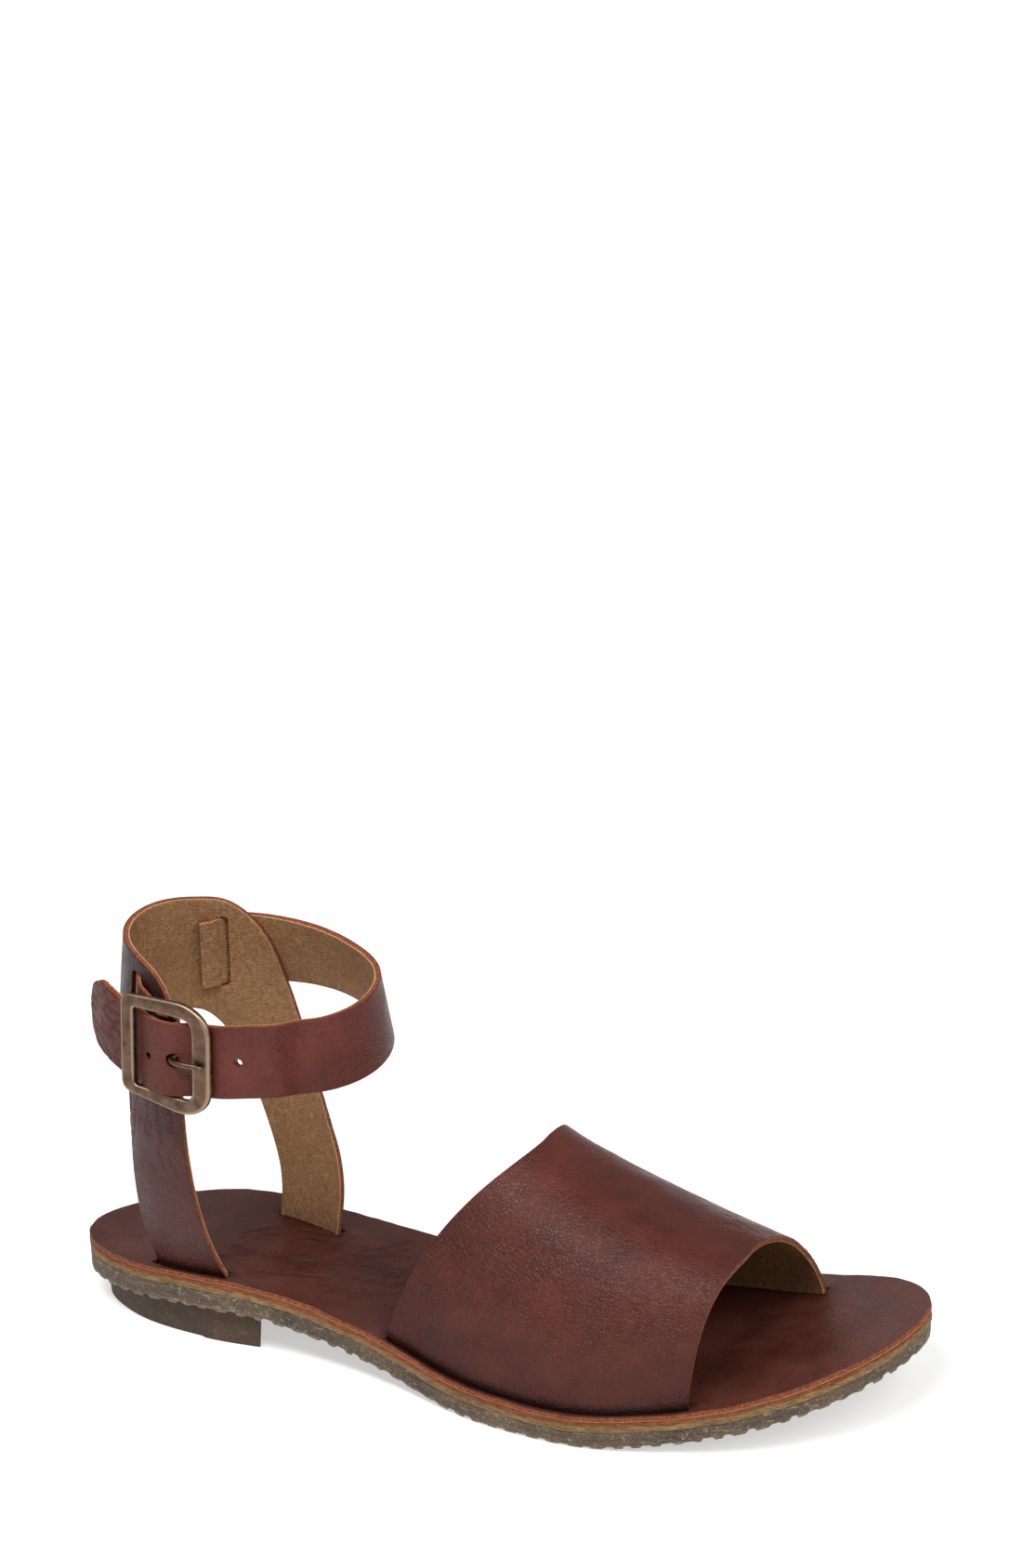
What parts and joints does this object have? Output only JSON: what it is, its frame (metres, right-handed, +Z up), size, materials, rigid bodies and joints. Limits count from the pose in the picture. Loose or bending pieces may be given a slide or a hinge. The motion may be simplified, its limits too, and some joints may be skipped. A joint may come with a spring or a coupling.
{
  "type": "ankle strap sandal",
  "caption": "Flat leather sandal for the right foot with a broad band over the toes, an inverted U heel strap, a buckled ankle strap and a layered sole with a low heel.",
  "frame": {"origin": "on the floor, under the middle of the sandal's length and width", "axes": "+X from the heel to the toe, +Y to the inner side of the foot, +Z up from the floor"},
  "size_m": [0.2616, 0.0954, 0.1271],
  "materials": {
    "sole_rubber": "matt, slightly worn",
    "heel_rubber": "matt",
    "midsole_board": "fibrous board, matt",
    "insole_leather": "waxed, satin",
    "upper_leather": "waxed, satin",
    "antique_brass": "aged, dull"
  },
  "bodies": {
    "root": {"outsole": "sole_rubber", "heel": "heel_rubber", "midsole": "midsole_board", "insole": "insole_leather", "vamp": "upper_leather", "heel_strap": "upper_leather", "ankle_strap": "upper_leather", "buckle_strap": "upper_leather", "buckle_frame": "antique_brass", "buckle_prong": "antique_brass"}
  },
  "joints": []
}
